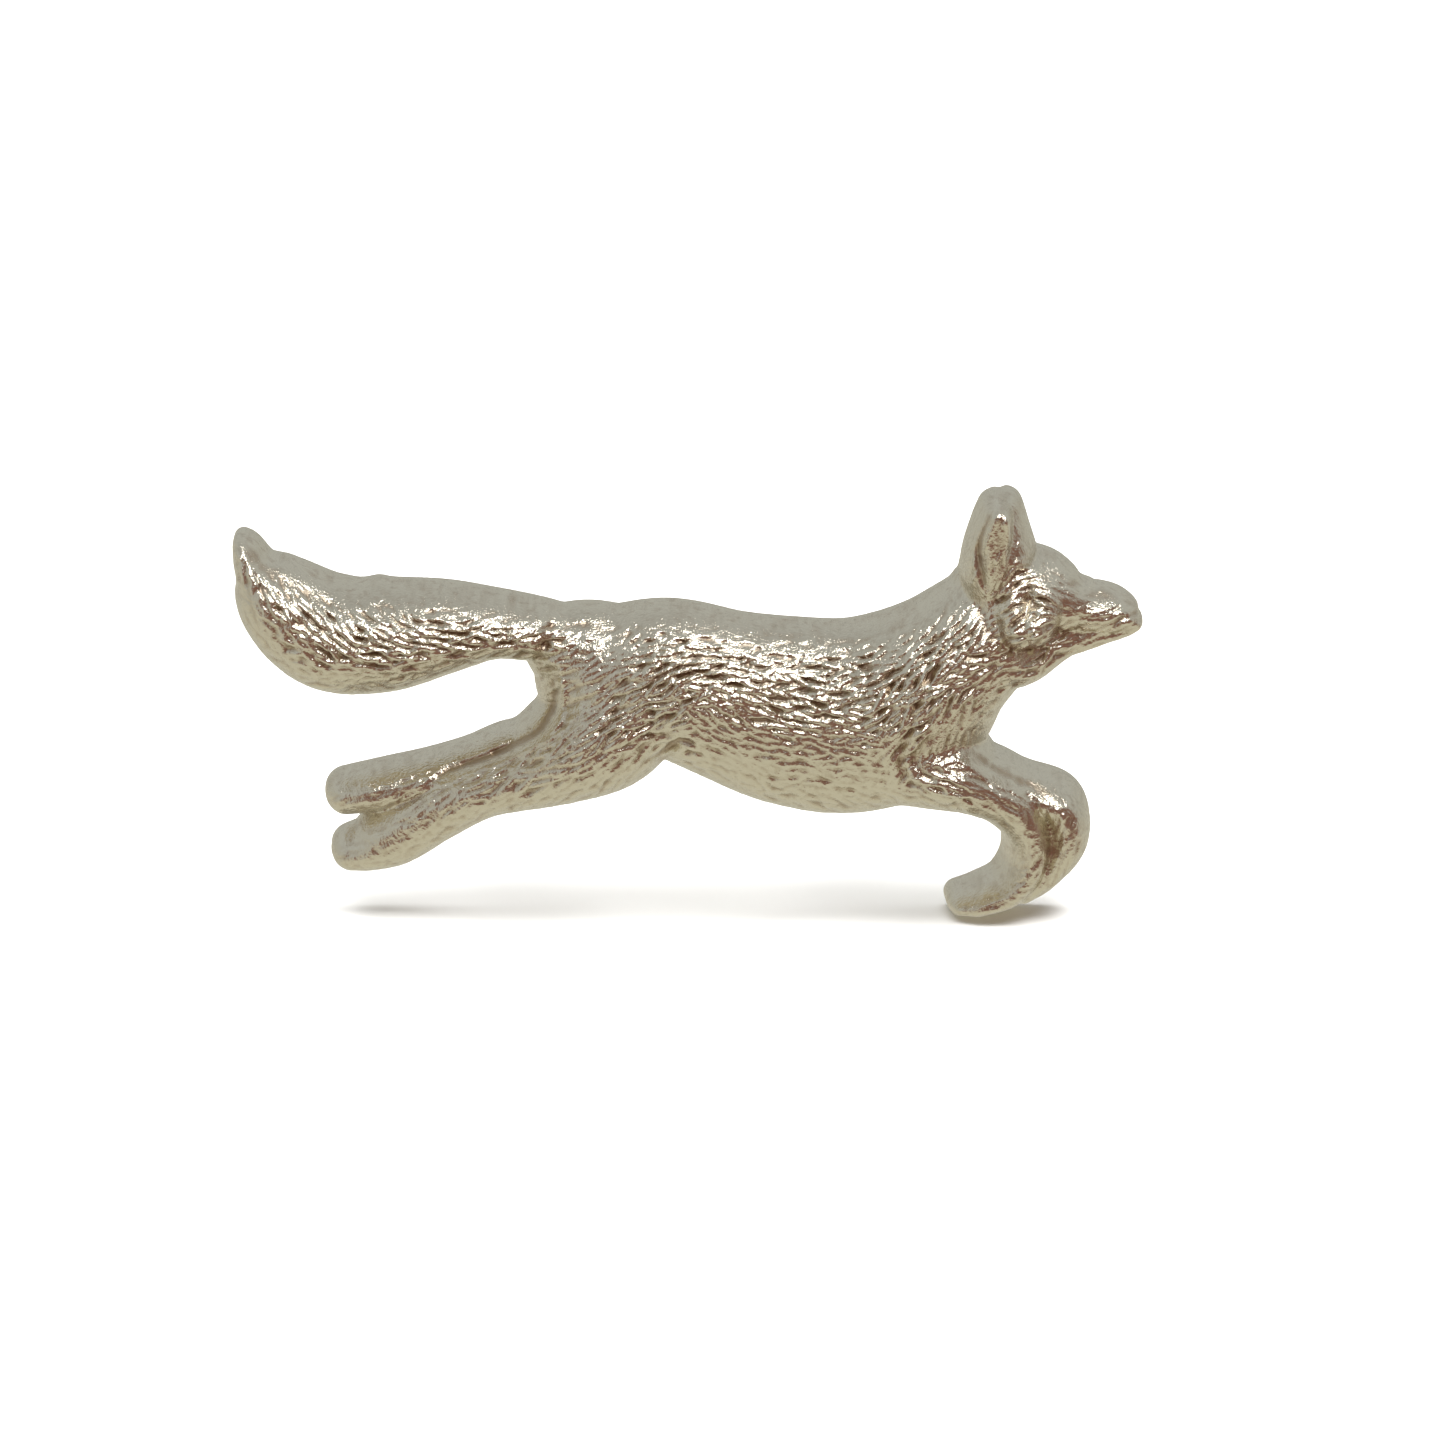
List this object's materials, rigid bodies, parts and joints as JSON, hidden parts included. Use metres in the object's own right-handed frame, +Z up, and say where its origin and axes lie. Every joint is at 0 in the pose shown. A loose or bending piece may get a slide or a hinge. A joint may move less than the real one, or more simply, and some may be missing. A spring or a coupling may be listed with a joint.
{
  "type": "running fox brooch",
  "caption": "Flat-backed cast metal relief of a running fox, worn as a brooch, with a hinged pin and a roll-over safety catch on its back.",
  "frame": {"origin": "middle of the outline's length and height, on the plane of the flat back", "axes": "+X towards the animal's nose, along its length; +Y out of the flat back, towards the cloth; +Z up, towards its back and ears"},
  "size_m": [0.05, 0.0109, 0.0241],
  "materials": {
    "nickel_plated_casting": "bright nickel plate over an as-cast surface, softly pitted, warm grey",
    "soft_solder": "dull grey soft solder under the plate",
    "nickel_plated_finding": "bright nickel plate on stamped brass",
    "bright_wire": "drawn and polished wire"
  },
  "bodies": {
    "brooch_body": {"fox_casting": "nickel_plated_casting", "hinge_solder": "soft_solder", "catch_solder": "soft_solder", "hinge_bracket": "nickel_plated_finding", "hinge_rivet": "bright_wire", "catch_body": "nickel_plated_finding"},
    "pin_stem": {"pin_stem": "bright_wire"},
    "catch_rotor": {"catch_rotor": "nickel_plated_finding"}
  },
  "joints": [
    {"name": "pin_hinge", "type": "hinge", "parent": "brooch_body", "child": "pin_stem", "pos_m": [-0.0046, 0.0031, 0.0012], "axis": [0, 0, 1], "range_deg": [0, 110]},
    {"name": "catch_turn", "type": "hinge", "parent": "brooch_body", "child": "catch_rotor", "pos_m": [0.0142, 0.0031, 0.0012], "axis": [-1, 0, 0], "range_deg": [0, 150]}
  ]
}
